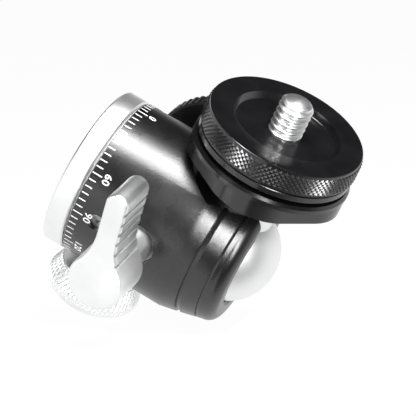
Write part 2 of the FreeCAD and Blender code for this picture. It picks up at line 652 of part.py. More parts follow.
def make_drag():
    """The drag knob with its own cam shaft."""
    stub_end = "drag_inner + drag_thick - dish_depth - seat_gap"
    shaft = turned("drag_shaft", shaft_outline("drag_cam_end", "drag_inner", "journal_radius", stub_end))
    cam = rod("drag_cam", "cam_radius", "drag_cam_end - drag_cam_start", ("0", "cam_offset", "drag_cam_start"))
    pivot = rod("drag_pivot", "pivot_radius", "drag_cam_end - pivot_end - running_gap",
                ("0", "0", "pivot_end + running_gap"))
    hole = rod("drag_screw_hole", "small_screw + running_gap", "screw_reach + 2 * free_gap",
               ("0", "0", stub_end + " + seat_gap - screw_reach - free_gap"))
    whole = cut("drag_shaft_cut", fused("drag_shaft_fused", [shaft, cam, pivot]), [hole])
    finish(whole, "drag_shaft", ("0", "0", "clamp_height"), outward(DRAG_SIDE))
    shaft_clip("drag_clip", DRAG_SIDE)

    outer = "drag_inner + drag_thick"
    knob = turned("drag_knob", [
        ("journal_radius + press_gap", "drag_inner"), ("drag_radius - drag_edge", "drag_inner"),
        ("drag_radius", "drag_inner + drag_edge"), ("drag_radius", outer + " - drag_bevel"),
        ("drag_radius - drag_bevel", outer), ("drag_dish", outer),
        ("drag_dish", outer + " - dish_depth"), ("journal_radius + press_gap", outer + " - dish_depth"),
    ])
    knob = fluted("drag_knob", knob, "drag_flutes", "drag_flute_depth", "drag_flute_radius",
                  "drag_radius", "drag_inner - 1", "drag_thick + 2")
    finish(knob, "drag_knob", ("0", "0", "clamp_height"), outward(DRAG_SIDE))

    screw = turned("drag_screw", [
        ("0", "-screw_reach"), ("small_screw", "-screw_reach"), ("small_screw", "0"),
        ("small_head + seat_gap", "0"), ("small_head + seat_gap", "head_sink"),
        ("socket_radius", "head_sink"), ("socket_radius", "head_sink - socket_depth"),
        ("0", "head_sink - socket_depth"),
    ])
    finish(screw, "drag_screw", ("-(%s - dish_depth)" % outer, "0", "clamp_height"), outward(DRAG_SIDE))


def make_pan_lock():
    """The panning knob, its screw and the brake shoe."""
    outer = "pan_inner + pan_thick"
    stub_top = "pan_inner + pan_stub_length"
    knob = turned("pan_knob", [
        ("pan_stub + press_gap", "pan_inner"), ("pan_face_radius", "pan_inner"),
        ("pan_radius", "pan_inner + pan_flare"), ("pan_radius", "pan_inner + pan_flare + pan_band"),
        ("pan_dome_radius", "pan_inner + pan_dome", "through"),
        ("pan_end_radius", outer), ("0", outer), ("0", stub_top + " + press_gap"),
        ("pan_stub + press_gap", stub_top + " + press_gap"),
    ])
    finish(knob, "pan_knob", ("0", "0", "pan_height"), outward(PAN_SIDE))

    screw = turned("pan_screw", [
        ("0", "pan_screw_tip"), ("pan_screw", "pan_screw_tip"), ("pan_screw", "pan_inner - press_gap"),
        ("pan_stub", "pan_inner - press_gap"), ("pan_stub", stub_top), ("0", stub_top),
    ])
    finish(screw, "pan_lock_screw", ("0", "0", "pan_height"), outward(PAN_SIDE))

    floor = "spigot_radius - brake_groove + 2 * seat_gap"
    shoe = turned("brake_shoe", [
        ("0", floor), ("brake_groove", floor + " + brake_groove"),
        ("shoe_radius", floor + " + brake_groove"), ("shoe_radius", "shoe_end"), ("0", "shoe_end"),
    ])
    finish(shoe, "brake_shoe", ("0", "0", "pan_height"), outward(PAN_SIDE))


def finish_on_stem(thing, node):
    """Put a piece of the camera group on the stem, whose axis runs towards the notch."""
    finish(thing, node, ("0", "0", "ball_height"), outward(CAMERA_SIDE))


def plate_block():
    """The lower part of the plate: a square with large round corners, turned about the stem."""
    body = doc.addObject("PartDesign::Body", "plate_block")
    straight = "(plate_flat - plate_corner)"
    middle = "(plate_flat - plate_corner * (1 - cos(45)))"
    corners = []
    for right, up in ((1, 1), (-1, 1), (-1, -1), (1, -1)):
        first = ("%d * plate_flat" % right, "%d * %s" % (up, straight))
        last = ("%d * %s" % (right, straight), "%d * plate_flat" % up)
        between = ("%d * %s" % (right, middle), "%d * %s" % (up, middle), "through")
        corners += [first, between, last] if right == up else [last, between, first]
    sketch = sketch_outline(body, "plate_block_outline", "XY_Plane", corners)
    pad = body.newObject("PartDesign::Pad", "plate_block_pad")
    pad.Profile = sketch
    bind(pad, "Length", "plate_thick - plate_rim")
    sketch.Visibility = False
    body.Placement = FreeCAD.Placement(Vector(0, 0, 0), Rotation(UP, number("plate_turn")))
    bind_place(body, ("0", "0", "plate_start"))
    doc.recompute()
    return body


def make_ball():
    """The ball with its stem, the lower plate and the camera stud."""
    plate_top = "plate_start + plate_thick"
    sphere = ball_shape("ball_sphere", "ball_radius")
    stem = turned("stem", ring("0", "neck_radius", "ball_radius / 2", "plate_start"))
    spigot = rod("stem_spigot", "plate_spigot", "plate_web", ("0", "0", "plate_start"))
    hole = rod("stud_hole", "stud_root + running_gap", "plate_start", ("0", "0", "stud_start - seat_gap"))
    finish_on_stem(cut("ball_cut", fused("ball_fused", [sphere, stem, spigot]), [hole]), "ball")

    pocket = "plate_start + plate_web"
    flange = turned("plate_flange", [
        ("0", plate_top + " - plate_rim"), ("plate_radius", plate_top + " - plate_rim"),
        ("plate_radius", plate_top + " - plate_bevel"), ("plate_radius - plate_bevel", plate_top),
        ("0", plate_top),
    ])
    whole = fused("plate_fused", [flange, plate_block()])
    bores = [
        rod("plate_bore", "plate_spigot + press_gap", "plate_thick", ("0", "0", "plate_start - 1")),
        rod("plate_pocket", "stud_flange + seat_gap", "plate_thick", ("0", "0", pocket)),
    ]
    finish_on_stem(cut("lower_plate_cut", whole, bores), "lower_plate")

    relief = "(disc_top - recess_depth + seat_gap)"
    stud = turned("camera_stud", [
        ("0", "stud_start"), ("stud_root", "stud_start"), ("stud_root", pocket),
        ("stud_flange", pocket), ("stud_flange", pocket + " + flange_thick"),
        ("stud_radius", pocket + " + flange_thick"), ("stud_radius", relief + " - relief_width"),
        ("stud_radius - relief_depth", relief + " - relief_width"),
        ("stud_radius - relief_depth", relief), ("stud_radius", relief),
        ("stud_radius", "stud_top - stud_bevel"),
        ("stud_radius - stud_bevel", "stud_top"), ("0", "stud_top"),
    ])
    finish_on_stem(stud, "camera_stud")
    washer = ring("stud_flange + seat_gap", "friction_radius", plate_top, plate_top + " + friction_thick")
    finish_on_stem(turned("friction_washer", washer), "friction_washer")


def make_disc():
    """The round camera disc that turns on the stud."""
    bore = "stud_radius + running_gap"
    disc = turned("camera_disc", [
        (bore, "disc_start"), ("disc_lip", "disc_start"), ("disc_lip", "knurl_start - knurl_groove"),
        ("disc_lip - knurl_groove", "knurl_start - knurl_groove"),
        ("disc_lip - knurl_groove", "knurl_start"), ("disc_radius", "knurl_start"),
        ("disc_radius", "disc_top - disc_bevel"), ("disc_radius - disc_bevel", "disc_top"),
        ("disc_recess + recess_slope / 2", "disc_top"),
        ("disc_recess - recess_slope / 2", "disc_top - recess_depth"),
        (bore, "disc_top - recess_depth"),
    ])
    finish_on_stem(disc, "camera_disc")


def check_document():
    """Stop if any object failed to build or any sub-part isn't a valid solid."""
    doc.recompute()
    for thing in doc.Objects:
        if "Invalid" in thing.State or "Error" in thing.State:
            raise RuntimeError(thing.Name + " failed to build: " + str(thing.State))
    for piece in subparts:
        if piece.Shape.isNull() or not piece.Shape.isValid() or piece.Shape.Volume <= 0:
            raise RuntimeError(piece.Label + " isn't a valid solid")


def write_parts():
    """Write one file for each sub-part."""
    os.makedirs("parts", exist_ok=True)
    for piece in subparts:
        piece.Shape.exportStep(os.path.join("parts", piece.Label + ".step"))
        print("%-18s solids %d volume %10.2f" % (piece.Label, len(piece.Shape.Solids), piece.Shape.Volume))


# Levels that follow from the sizes above.
LEVELS = [
    ("head_bottom", "base_height + washer_thick + running_gap"),
    ("stack_bottom", "clamp_height + cam_offset + cam_radius + plate_gap"),
    ("sleeve_top", "pan_height - shoe_radius - free_gap"),
    ("cup_top", "ball_height - neck_radius - free_gap"),
]


def add_levels():
    """Add the derived levels to the sheet as formulas of the driving dimensions."""
    global NAMES
    for row, (name, formula) in enumerate(LEVELS, start=len(SIZES) + 1):
        sheet.set("B%d" % row, "=" + formula)
        sheet.setAlias("B%d" % row, name)
    names = [name for name, size, note in SIZES] + [name for name, formula in LEVELS]
    NAMES = re.compile(r"\b(" + "|".join(names) + r")\b")
    doc.recompute()


fill_sheet()
add_levels()
make_base()
make_head()
make_head_insides()
make_clamp()
make_lever()
make_drag()
make_pan_lock()
make_ball()
make_disc()
check_document()
write_parts()
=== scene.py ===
"""Studio scene of a small tripod ball head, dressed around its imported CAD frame."""

import json
import math

import bmesh
import bpy
from mathutils import Matrix, Vector


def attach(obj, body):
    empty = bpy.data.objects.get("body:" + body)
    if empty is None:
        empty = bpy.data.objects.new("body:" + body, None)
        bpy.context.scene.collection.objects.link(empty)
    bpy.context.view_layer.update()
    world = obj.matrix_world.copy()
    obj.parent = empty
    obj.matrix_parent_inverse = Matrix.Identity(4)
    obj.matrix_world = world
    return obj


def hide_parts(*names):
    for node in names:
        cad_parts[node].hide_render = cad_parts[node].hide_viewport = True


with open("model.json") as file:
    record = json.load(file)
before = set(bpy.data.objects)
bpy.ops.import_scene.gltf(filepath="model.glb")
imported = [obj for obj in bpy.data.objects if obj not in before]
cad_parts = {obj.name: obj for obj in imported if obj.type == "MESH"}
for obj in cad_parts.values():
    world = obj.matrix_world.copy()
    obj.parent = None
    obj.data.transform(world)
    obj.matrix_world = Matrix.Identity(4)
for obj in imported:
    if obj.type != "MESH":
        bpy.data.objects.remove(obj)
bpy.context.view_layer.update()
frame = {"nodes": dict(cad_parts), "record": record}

MM = 0.001

# The head's main sizes and places in the frame, in millimetres.
BODY_RADIUS = 15.5
BALL_HEIGHT = 30.58
PAN_HEIGHT, PAN_FACE = 10.2, 18.0

# The turned pieces are drawn about a local Z axis: from the ball's centre out through the disc
# along -Y, and from the panning knob's inner face outwards along +Y.
DISC_AXIS = (Matrix.Translation((0, 0, BALL_HEIGHT * MM))
             @ Matrix.Rotation(math.radians(90), 4, "X"))
PAN_AXIS = (Matrix.Translation((0, PAN_FACE * MM, PAN_HEIGHT * MM))
            @ Matrix.Rotation(math.radians(-90), 4, "X"))

# Points nearer than this are one point, and edges shorter than the second are none, in metres.
SAME_POINT, NO_EDGE = 1e-7, 1e-8

# Edges that turn by more than this many degrees stay sharp in the shading.
CAD_CREASE, PIECE_CREASE, THREAD_CREASE, KNURL_CREASE = 24, 30, 50, 5


# ---- Small tools for shader nodes ----

def emptied_tree(owner):
    """The node tree of a material or a world, with nothing in it."""
    owner.use_nodes = True
    owner.node_tree.nodes.clear()
    return owner.node_tree


def new_finish(name):
    """An empty material with its output and main shader."""
    material = bpy.data.materials.new(name)
    tree = emptied_tree(material)
    output = tree.nodes.new("ShaderNodeOutputMaterial")
    shader = tree.nodes.new("ShaderNodeBsdfPrincipled")
    tree.links.new(shader.outputs["BSDF"], output.inputs["Surface"])
    return material, tree, shader


def calculated(tree, operation, first, second=None):
    """The result of a calculation on one or two values, each a socket or a plain number."""
    node = tree.nodes.new("ShaderNodeMath")
    node.operation = operation
    for value, entry in ((first, node.inputs[0]), (second, node.inputs[1])):
        if isinstance(value, bpy.types.NodeSocket):
            tree.links.new(value, entry)
        elif value is not None:
            entry.default_value = value
    return node.outputs["Value"]


def noise(tree, scale_per_m, detail=2.0, roughness=0.5):
    """Fractal noise in the object's own coordinates."""
    place = tree.nodes.new("ShaderNodeTexCoord")
    texture = tree.nodes.new("ShaderNodeTexNoise")
    texture.inputs["Scale"].default_value = scale_per_m
    texture.inputs["Detail"].default_value = detail
    texture.inputs["Roughness"].default_value = roughness
    tree.links.new(place.outputs["Object"], texture.inputs["Vector"])
    return texture.outputs["Fac"]


def spread(tree, factor, low, high, start=0.3, stop=0.7, curve="LINEAR"):
    """A factor stretched between two values."""
    node = tree.nodes.new("ShaderNodeMapRange")
    node.interpolation_type = curve
    node.inputs["From Min"].default_value = start
    node.inputs["From Max"].default_value = stop
    node.inputs["To Min"].default_value = low
    node.inputs["To Max"].default_value = high
    tree.links.new(factor, node.inputs["Value"])
    return node.outputs["Result"]


def two_tones(tree, factor, first, second):
    """A colour that drifts between two tones."""
    node = tree.nodes.new("ShaderNodeMix")
    node.data_type = "RGBA"
    node.inputs["A"].default_value = (*first, 1)
    node.inputs["B"].default_value = (*second, 1)
    tree.links.new(factor, node.inputs["Factor"])
    return node.outputs["Result"]


def bumped(tree, shader, height, strength, depth_mm):
    """Fine relief on the surface."""
    node = tree.nodes.new("ShaderNodeBump")
    node.inputs["Strength"].default_value = strength
    node.inputs["Distance"].default_value = depth_mm * MM
    tree.links.new(height, node.inputs["Height"])
    tree.links.new(node.outputs["Normal"], shader.inputs["Normal"])


def coloured(tree, shader, drift, tones, gloss, roughness):
    """Let the base colour follow one slow drift and the roughness follow its own factor."""
    tree.links.new(two_tones(tree, spread(tree, drift, 0, 1), *tones),
                   shader.inputs["Base Color"])
    tree.links.new(spread(tree, gloss, *roughness), shader.inputs["Roughness"])


# ---- Finishes ----

# Noise cells in a metre of turned metal, across the tool's rings and along them.
TURNED_RINGS, TURNED_STREAKS = 14000.0, 260.0


def blasted_metal(name, tones, roughness, grain_per_m, relief, metallic=1.0, specular=0.5):
    """Bead-blasted and anodised metal: a fine grain, with the tone and gloss drifting slowly."""
    material, tree, shader = new_finish(name)
    drift = noise(tree, 180, detail=3)
    grain = noise(tree, grain_per_m, detail=3, roughness=0.65)
    shader.inputs["Metallic"].default_value = metallic
    shader.inputs["Specular IOR Level"].default_value = specular
    coloured(tree, shader, drift, tones, drift, roughness)
    bumped(tree, shader, grain, relief, depth_mm=0.02)
    return material


def turned_metal(name, tones, roughness, axis=2):
    """Lathe-turned metal with fine rings round one of its own axes."""
    material, tree, shader = new_finish(name)
    place = tree.nodes.new("ShaderNodeTexCoord")
    stretch = tree.nodes.new("ShaderNodeMapping")
    scale = [TURNED_STREAKS] * 3
    scale[axis] = TURNED_RINGS
    stretch.inputs["Scale"].default_value = scale
    texture = tree.nodes.new("ShaderNodeTexNoise")
    texture.inputs["Scale"].default_value = 1.0
    texture.inputs["Detail"].default_value = 2.0
    tree.links.new(place.outputs["Object"], stretch.inputs["Vector"])
    tree.links.new(stretch.outputs["Vector"], texture.inputs["Vector"])
    rings = texture.outputs["Fac"]
    shader.inputs["Metallic"].default_value = 1.0
    coloured(tree, shader, noise(tree, 150), tones, rings, roughness)
    bumped(tree, shader, rings, 0.3, depth_mm=0.01)
    return material


def moulded_plastic(name, tones, roughness):
    """Plain moulded or machined plastic."""
    material, tree, shader = new_finish(name)
    drift = noise(tree, 300)
    coloured(tree, shader, drift, tones, drift, roughness)
    bumped(tree, shader, noise(tree, 5000), 0.2, depth_mm=0.01)
    return material


BLACK = ((0.003, 0.003, 0.0035), (0.005, 0.005, 0.0055))
SILVER = ((0.86, 0.865, 0.87), (0.92, 0.922, 0.925))
STEEL = ((0.52, 0.52, 0.53), (0.62, 0.62, 0.63))
BRASS = ((0.72, 0.50, 0.20), (0.78, 0.56, 0.24))
CREAM = ((0.80, 0.80, 0.77), (0.84, 0.84, 0.81))
CHARCOAL = ((0.02, 0.02, 0.02), (0.03, 0.03, 0.03))
WHITE = ((0.80, 0.80, 0.79), (0.85, 0.85, 0.84))

black_anodised = blasted_metal("black_anodised", BLACK, (0.25, 0.30), 3600, 1.0, 0.0, 0.85)
black_knurled = blasted_metal("black_knurled", BLACK, (0.24, 0.30), 5200, 0.3, 0.0, 1.0)
black_smooth = blasted_metal("black_smooth", BLACK, (0.17, 0.22), 3000, 0.15, 0.0, 0.75)
silver_anodised = blasted_metal("silver_anodised", SILVER, (0.36, 0.44), 5200, 0.5)
silver_knurled = blasted_metal("silver_knurled", SILVER, (0.42, 0.50), 5200, 0.3)
silver_ball = blasted_metal("silver_ball", SILVER, (0.42, 0.50), 5200, 0.5)
bright_turned = turned_metal("bright_turned", SILVER, (0.30, 0.4), axis=1)
turned_steel = turned_metal("turned_steel", STEEL, (0.25, 0.4))
turned_brass = turned_metal("turned_brass", BRASS, (0.25, 0.4))
acetal = moulded_plastic("acetal", CREAM, (0.35, 0.45))
dark_nylon = moulded_plastic("dark_nylon", CHARCOAL, (0.4, 0.5))
white_print = moulded_plastic("white_print", WHITE, (0.5, 0.6))

# The finish of each CAD node. Those that aren't named here are turned steel.
NODE_FINISH = {
    "pan_base": silver_anodised, "bearing_plug": silver_anodised, "cam_shaft": silver_anodised,
    "lever": silver_anodised, "pan_knob": silver_anodised, "ball": silver_ball,
    "head_body": black_anodised, "drag_knob": black_anodised, "lower_plate": black_smooth,
    "pan_washer": acetal, "pan_sleeve": acetal, "seat_ring": acetal, "lever_washer": acetal,
    "drag_washer": acetal, "ball_cup": acetal, "friction_washer": dark_nylon,
    "brake_shoe": turned_brass,
}


# ---- Small tools for pieces ----


def body_of(node):
    """The body that a CAD node belongs to."""
    bodies = frame["record"]["behaviour"]["bodies"]
    return next(body for body, nodes in bodies.items() if node in nodes)


def show(thing, node):
    """Let a finished piece stand for a CAD node, on the same body, with the node hidden."""
    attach(thing, body_of(node))
    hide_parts(node)


def set_material(thing, material):
    """Give one finish to the whole of a piece."""
    thing.data.materials.clear()
    thing.data.materials.append(material)
    for face in thing.data.polygons:
        face.material_index = 0


def smooth_by_angle(mesh, crease):
    """Smooth shading that breaks at edges sharper than an angle in degrees."""
    work = bmesh.new()
    work.from_mesh(mesh)
    for face in work.faces:
        face.smooth = True
    for edge in work.edges:
        edge.smooth = (len(edge.link_faces) == 2
                       and edge.calc_face_angle(0) < math.radians(crease))
    work.to_mesh(mesh)
    work.free()


def new_object(name, mesh, material):
    """A piece at the origin, made of a finished mesh."""
    thing = bpy.data.objects.new(name, mesh)
    bpy.context.scene.collection.objects.link(thing)
    set_material(thing, material)
    return thing


def smooth_copy(node):
    """A copy of a CAD node with its triangles merged, so that its curves shade smoothly."""
    mesh = frame["nodes"][node].data.copy()
    mesh.name = node + "_smooth"
    work = bmesh.new()
    work.from_mesh(mesh)
    bmesh.ops.remove_doubles(work, verts=work.verts, dist=SAME_POINT)
    bmesh.ops.dissolve_degenerate(work, edges=work.edges, dist=NO_EDGE)
    work.to_mesh(mesh)
    work.free()
    if mesh.has_custom_normals:
        mesh.attributes.remove(mesh.attributes["custom_normal"])
    smooth_by_angle(mesh, CAD_CREASE)
    finish = NODE_FINISH.get(node, turned_steel)
    show(new_object(node + "_piece", mesh, finish), node)


def mesh_of(name, corners, faces, material, crease=PIECE_CREASE):
    """A mesh piece from corner points in millimetres, with its faces turned outwards."""
    mesh = bpy.data.meshes.new(name)
    mesh.from_pydata([Vector(corner) * MM for corner in corners], [], faces)
    work = bmesh.new()
    work.from_mesh(mesh)
    bmesh.ops.remove_doubles(work, verts=work.verts, dist=SAME_POINT)
    bmesh.ops.recalc_face_normals(work, faces=work.faces)
    work.to_mesh(mesh)
    work.free()
    smooth_by_angle(mesh, crease)
    return new_object(name, mesh, material)


def joined(name, pieces, material):
    """Several meshes as one piece."""
    work = bmesh.new()
    for piece in pieces:
        work.from_mesh(piece.data)
        bpy.data.objects.remove(piece)
    mesh = bpy.data.meshes.new(name)
    work.to_mesh(mesh)
    work.free()
    return new_object(name, mesh, material)


def put_on(thing, place):
    """Move a piece's mesh to its place, so that its object stays at the origin."""
    thing.data.transform(place)
    thing.data.update()
    return thing


def lathe(name, profile, material, steps):
    """A closed turned piece: an outline of radius and height in millimetres, turned about Z."""
    corners, faces = [], []
    for step in range(steps):
        turn = math.tau * step / steps
        corners += [(r * math.cos(turn), r * math.sin(turn), z) for r, z in profile]
    count = len(profile)
    for step in range(steps):
        here, there = step * count, (step + 1) % steps * count
        for spot in range(count):
            after = (spot + 1) % count
            if profile[spot][0] > 0 or profile[after][0] > 0:
                faces.append((here + spot, there + spot, there + after, here + after))
    return mesh_of(name, corners, faces, material)


def bar(name, depth, width, height, material):
    """A plain bar round the origin, its depth along X."""
    x, y, z = depth / 2, width / 2, height / 2
    corners = [(a, b, c) for a in (-x, x) for b in (-y, y) for c in (-z, z)]
    faces = [(0, 1, 3, 2), (4, 6, 7, 5), (0, 4, 5, 1), (2, 3, 7, 6), (0, 2, 6, 4), (1, 5, 7, 3)]
    return mesh_of(name, corners, faces, material)


# ---- Geometry nodes for what repeats ----

# What sets out each row of a ring, and the kind of value that it is.
ROW_VALUES = (("Count", "NodeSocketInt"), ("Radius", "NodeSocketFloat"),
              ("Height", "NodeSocketFloat"), ("Start", "NodeSocketFloat"))


def repeat_tree(name, inputs):
    """A new geometry tree with named inputs and one geometry input and output."""
    tree = bpy.data.node_groups.new(name, "GeometryNodeTree")
    tree.interface.new_socket("Geometry", in_out="INPUT", socket_type="NodeSocketGeometry")
    sockets = {}
    for label, kind in inputs:
        sockets[label] = tree.interface.new_socket(label, in_out="INPUT", socket_type=kind)
    tree.interface.new_socket("Geometry", in_out="OUTPUT", socket_type="NodeSocketGeometry")
    return tree, sockets


def ring_of_pieces(name, piece, material, rows):
    """Copies of a small piece, set round the local Z axis in rows and joined to one mesh.

    A row is a count, a radius and a height in millimetres, and a start angle in pitches.
    """
    tree, sockets = repeat_tree(name + "_tree", [
        ("Piece", "NodeSocketObject"), ("Finish", "NodeSocketMaterial"),
        *[(f"{label} {index}", kind) for index in range(len(rows)) for label, kind in ROW_VALUES],
    ])
    nodes, links = tree.nodes, tree.links
    entry = nodes.new("NodeGroupInput")
    leave = nodes.new("NodeGroupOutput")
    info = nodes.new("GeometryNodeObjectInfo")
    links.new(entry.outputs["Piece"], info.inputs["Object"])
    gather = nodes.new("GeometryNodeJoinGeometry")
    for index in range(len(rows)):
        links.new(ring_row(tree, entry, info, index), gather.inputs["Geometry"])
    real = nodes.new("GeometryNodeRealizeInstances")
    paint = nodes.new("GeometryNodeSetMaterial")
    links.new(gather.outputs["Geometry"], real.inputs["Geometry"])
    links.new(real.outputs["Geometry"], paint.inputs["Geometry"])
    links.new(entry.outputs["Finish"], paint.inputs["Material"])
    links.new(paint.outputs["Geometry"], leave.inputs["Geometry"])
    values = {"Piece": piece, "Finish": material}
    for index, (count, radius, height, start) in enumerate(rows):
        values[f"Count {index}"] = count
        values[f"Radius {index}"] = radius * MM
        values[f"Height {index}"] = height * MM
        values[f"Start {index}"] = start * math.tau / count
    ring = grown(name, tree, sockets, values, material)
    bpy.data.objects.remove(piece)
    return ring


def ring_row(tree, entry, info, index):
    """One row of the ring: points on a line, wrapped round the axis and facing outwards."""
    nodes, links = tree.nodes, tree.links
    count, radius, height, start = (entry.outputs[f"{label} {index}"] for label, _ in ROW_VALUES)
    points = nodes.new("GeometryNodeMeshLine")
    points.mode = "OFFSET"
    points.inputs["Offset"].default_value = (0, 0, 0)
    links.new(count, points.inputs["Count"])
    number = nodes.new("GeometryNodeInputIndex").outputs["Index"]
    pitch = calculated(tree, "DIVIDE", math.tau, count)
    turned = calculated(tree, "MULTIPLY", number, pitch)
    angle = calculated(tree, "ADD", turned, start)
    spot = nodes.new("ShaderNodeCombineXYZ")
    for operation, axis in (("COSINE", "X"), ("SINE", "Y")):
        wave = calculated(tree, operation, angle)
        links.new(calculated(tree, "MULTIPLY", wave, radius), spot.inputs[axis])
    links.new(height, spot.inputs["Z"])
    placed = nodes.new("GeometryNodeSetPosition")
    links.new(points.outputs["Mesh"], placed.inputs["Geometry"])
    links.new(spot.outputs["Vector"], placed.inputs["Position"])
    outwards = nodes.new("ShaderNodeCombineXYZ")
    links.new(angle, outwards.inputs["Z"])
    copies = nodes.new("GeometryNodeInstanceOnPoints")
    links.new(placed.outputs["Geometry"], copies.inputs["Points"])
    links.new(info.outputs["Geometry"], copies.inputs["Instance"])
    links.new(outwards.outputs["Vector"], copies.inputs["Rotation"])
    return copies.outputs["Instances"]


def grown(name, tree, sockets, values, material):
    """Run a geometry tree on an empty mesh and keep its result as a plain mesh."""
    seed = bpy.data.objects.new(name + "_seed", bpy.data.meshes.new(name + "_seed"))
    bpy.context.scene.collection.objects.link(seed)
    modifier = seed.modifiers.new("grow", "NODES")
    modifier.node_group = tree
    for label, value in values.items():
        modifier[sockets[label].identifier] = value
    mesh = evaluated_mesh(seed)
    bpy.data.objects.remove(seed)
    mesh.name = name
    return new_object(name, mesh, material)


def evaluated_mesh(thing):
    """A plain mesh of what an object looks like with its modifiers."""
    bpy.context.view_layer.update()
    shape = thing.evaluated_get(bpy.context.evaluated_depsgraph_get())
    return bpy.data.meshes.new_from_object(shape)


# ---- The camera disc with its diamond knurl ----

# Radius and distance from the ball's centre, from the bore round the rim to the sunk middle.
DISC_PROFILE = [
    (3.24, 22.5), (14.5, 22.5), (14.6, 22.6), (14.6, 23.62), (14.54, 23.7), (14.36, 23.74),
    (14.36, 23.95), (14.6, 24.0), (14.66, 24.06), (14.66, 28.04), (14.62, 28.34), (14.5, 28.44),
    (10.3, 28.44), (10.2, 28.4), (9.58, 27.3), (9.48, 27.24), (3.24, 27.24),
]
DISC_STEPS = 256
KNURL_LOW, KNURL_HIGH = 24.15, 27.98
KNURL_AROUND, KNURL_ROWS = 92, 7
KNURL_FLOOR, KNURL_TOP = 14.66, 14.99
# The pyramids lap over each other and sink a little into the rim, so that no gap shows.
KNURL_LAP, KNURL_SINK = 1.02, 0.01


def knurl_diamond(width, height, depth):
    """One low pyramid of a diamond knurl, its base on the local YZ plane and its tip along +X."""
    y, z = width / 2, height / 2
    corners = [(0, -y, 0), (0, 0, -z), (0, y, 0), (0, 0, z), (depth, 0, 0)]
    faces = [(0, 1, 4), (1, 2, 4), (2, 3, 4), (3, 0, 4)]
    return mesh_of("knurl_diamond", corners, faces, black_knurled, KNURL_CREASE)


def make_camera_disc():
    """The knurled disc that the camera sits on, with its sunk middle."""
    disc = lathe("disc_core", DISC_PROFILE, black_smooth, DISC_STEPS)
    step = (KNURL_HIGH - KNURL_LOW) / (KNURL_ROWS + 1)
    width = math.tau * KNURL_FLOOR / KNURL_AROUND
    diamond = knurl_diamond(width * KNURL_LAP, step * 2 * KNURL_LAP, KNURL_TOP - KNURL_FLOOR)
    rows = [(KNURL_AROUND, KNURL_FLOOR - KNURL_SINK, KNURL_LOW + step * (row + 1), 0.5 * (row % 2))
            for row in range(KNURL_ROWS)]
    knurl = ring_of_pieces("disc_knurl", diamond, black_knurled, rows)
    show(put_on(disc, DISC_AXIS), "camera_disc")
    put_on(knurl, DISC_AXIS)
    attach(knurl, "disc")


# ---- The panning knob's knurl ----

# Radius and distance from the knob's inner face, along its flare and over its outer edge.
PAN_FLARE = [(7.53, 0.3), (8.22, 1.85), (8.90, 3.4), (8.90, 4.4), (8.70, 5.05)]
PAN_RIDGES = 56
# Radians that a ridge turns round the knob in each millimetre along it.
RIDGE_SLANT = 0.055
RIDGE_HALF_WIDTH, RIDGE_RISE, RIDGE_SINK = 0.26, 0.17, 0.03


def knob_ridge(slant):
    """One fine ridge along the flare of the panning knob, slanted round the knob's axis."""
    corners, faces = [], []
    # Each place along the flare has three corners: foot, top and foot.
    for radius, height in PAN_FLARE:
        turn, half = slant * height, RIDGE_HALF_WIDTH / radius
        foot, top = radius - RIDGE_SINK, radius + RIDGE_RISE
        corners += [(reach * math.cos(turn + side), reach * math.sin(turn + side), height)
                    for side, reach in ((-half, foot), (0, top), (half, foot))]
    last = 3 * len(PAN_FLARE) - 3
    for place in range(0, last, 3):
        faces += [(place + a, place + b, place + b + 3, place + a + 3)
                  for a, b in ((0, 1), (1, 2), (2, 0))]
    faces += [(0, 2, 1), (last, last + 1, last + 2)]
    return mesh_of("knob_ridge", corners, faces, silver_knurled, KNURL_CREASE)


def make_pan_knurl():
    """Two crossing sets of ridges round the panning knob."""
    for name, slant in (("pan_knurl_left", RIDGE_SLANT), ("pan_knurl_right", -RIDGE_SLANT)):
        rows = [(PAN_RIDGES, 0.0, 0.0, 0.0)]
        knurl = put_on(ring_of_pieces(name, knob_ridge(slant), silver_knurled, rows), PAN_AXIS)
        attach(knurl, "pan_control")


# ---- The camera stud with its thread ----

# Millimetres: the thread's pitch, crest radius and depth, and its start and end along the axis.
STUD_PITCH, STUD_CREST, STUD_DEPTH = 1.27, 3.17, 0.62
STUD_START, STUD_END = 20.9, 33.7
STUD_AROUND, STUD_RISE = 64, 0.0635
# The radius of the rounded end, and how much it widens in each millimetre below the end.
TIP_RADIUS, TIP_SLOPE = 2.55, 0.95
# Shares of half a pitch: where the flank leaves the crest, and how wide it is.
FLANK_START, FLANK_WIDTH = 0.12, 0.72
# Radius and distance from the ball's centre: the end inside the stem, and the flange that holds
# the plate.
STUD_ROOT = [(0, 11.2), (2.95, 11.2), (2.95, 19.4), (5.8, 19.4), (5.8, 20.9), (0, 20.9)]


def thread_depth(turns):
    """How far the thread lies below its crest at a place in its pitch, from 0 to 1."""
    offset = abs((turns % 1.0) - 0.5) * 2
    return min(1.0, max(0.0, (offset - FLANK_START) / FLANK_WIDTH))


